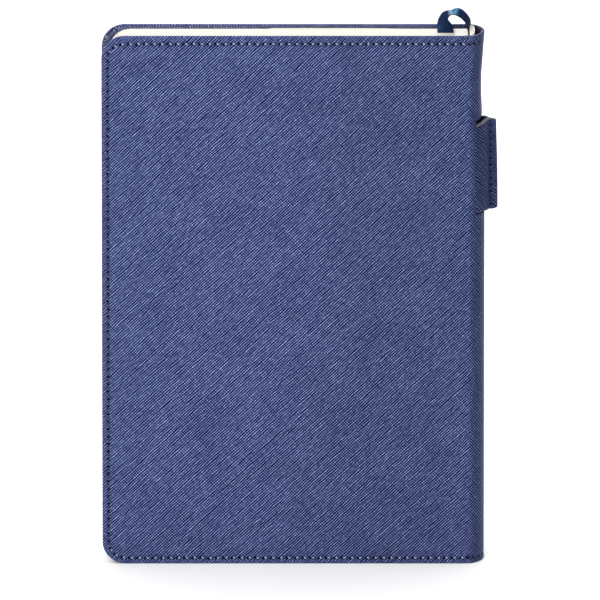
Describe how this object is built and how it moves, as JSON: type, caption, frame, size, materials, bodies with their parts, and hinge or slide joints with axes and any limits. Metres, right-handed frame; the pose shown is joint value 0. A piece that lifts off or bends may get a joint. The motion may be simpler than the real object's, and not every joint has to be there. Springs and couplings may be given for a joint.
{
  "type": "pilot logbook",
  "caption": "Upright leather flight journal with stitched covers, a sewn page refill, a ribbon marker and a pen loop on the rounded spine.",
  "frame": {"origin": "middle of the footprint of the closed book, at its tail edge; the ribbon is not counted", "axes": "+Z from tail to head, +X from the fore edge to the spine, back cover faces -Y"},
  "size_m": [0.1552, 0.017, 0.2257],
  "materials": {
    "leather": "cross-grain, satin",
    "lining": "cross-grain, matte",
    "board": "matte",
    "card": "smooth card",
    "paper": "uncoated ivory",
    "thread": "waxed polyester",
    "linen_thread": "linen",
    "mull": "open weave",
    "ribbon": "satin"
  },
  "bodies": {
    "spine": {"spine_leather": "leather", "spine_lining": "lining", "spine_stitches": "thread", "pen_loop": "leather", "pen_loop_stitches": "thread", "page_gutter": "paper", "sewing_thread": "linen_thread", "spine_mull": "mull", "refill_spine": "card", "ribbon_marker": "ribbon"},
    "back_cover": {"back_cover_leather": "leather", "back_cover_board": "board", "back_cover_lining": "lining", "back_sleeve": "lining", "refill_back_card": "card", "back_cover_stitches": "thread"},
    "front_cover": {"front_cover_leather": "leather", "front_cover_board": "board", "front_cover_lining": "lining", "front_sleeve": "lining", "refill_front_card": "card", "front_cover_stitches": "thread"},
    "signature_1": {"signature_1": "paper"},
    "signature_2": {"signature_2": "paper"},
    "signature_3": {"signature_3": "paper"},
    "signature_4": {"signature_4": "paper"},
    "signature_5": {"signature_5": "paper"},
    "signature_6": {"signature_6": "paper"},
    "signature_7": {"signature_7": "paper"},
    "signature_8": {"signature_8": "paper"}
  },
  "joints": [
    {"name": "front_cover_hinge", "type": "hinge", "parent": "spine", "child": "front_cover", "pos_m": [0.06695, 0.00865, 0.1088], "axis": [0, 0, -1], "range_deg": [0, 180]},
    {"name": "back_cover_hinge", "type": "hinge", "parent": "spine", "child": "back_cover", "pos_m": [0.06695, -0.00865, 0.1088], "axis": [0, 0, 1], "range_deg": [0, 180]},
    {"name": "signature_1_turn", "type": "hinge", "parent": "spine", "child": "signature_1", "pos_m": [0.06065, 0.00515, 0.1088], "axis": [0, 0, -1], "range_deg": [0, 111]},
    {"name": "signature_2_turn", "type": "hinge", "parent": "spine", "child": "signature_2", "pos_m": [0.06065, 0.0039, 0.1088], "axis": [0, 0, -1], "range_deg": [0, 73]},
    {"name": "signature_3_turn", "type": "hinge", "parent": "spine", "child": "signature_3", "pos_m": [0.06065, 0.00265, 0.1088], "axis": [0, 0, -1], "range_deg": [0, 47]},
    {"name": "signature_4_turn", "type": "hinge", "parent": "spine", "child": "signature_4", "pos_m": [0.06065, 0.0014, 0.1088], "axis": [0, 0, -1], "range_deg": [0, 24]},
    {"name": "signature_5_turn", "type": "hinge", "parent": "spine", "child": "signature_5", "pos_m": [0.06065, -0.0014, 0.1088], "axis": [0, 0, 1], "range_deg": [0, 24]},
    {"name": "signature_6_turn", "type": "hinge", "parent": "spine", "child": "signature_6", "pos_m": [0.06065, -0.00265, 0.1088], "axis": [0, 0, 1], "range_deg": [0, 47]},
    {"name": "signature_7_turn", "type": "hinge", "parent": "spine", "child": "signature_7", "pos_m": [0.06065, -0.0039, 0.1088], "axis": [0, 0, 1], "range_deg": [0, 73]},
    {"name": "signature_8_turn", "type": "hinge", "parent": "spine", "child": "signature_8", "pos_m": [0.06065, -0.00515, 0.1088], "axis": [0, 0, 1], "range_deg": [0, 111]}
  ],
  "couplings": [
    {"joint": "signature_1_turn", "follows": "front_cover_hinge", "ratio": 0.61111},
    {"joint": "signature_2_turn", "follows": "front_cover_hinge", "ratio": 0.4},
    {"joint": "signature_3_turn", "follows": "front_cover_hinge", "ratio": 0.25556},
    {"joint": "signature_4_turn", "follows": "front_cover_hinge", "ratio": 0.12778},
    {"joint": "signature_5_turn", "follows": "back_cover_hinge", "ratio": 0.12778},
    {"joint": "signature_6_turn", "follows": "back_cover_hinge", "ratio": 0.25556},
    {"joint": "signature_7_turn", "follows": "back_cover_hinge", "ratio": 0.4},
    {"joint": "signature_8_turn", "follows": "back_cover_hinge", "ratio": 0.61111}
  ]
}
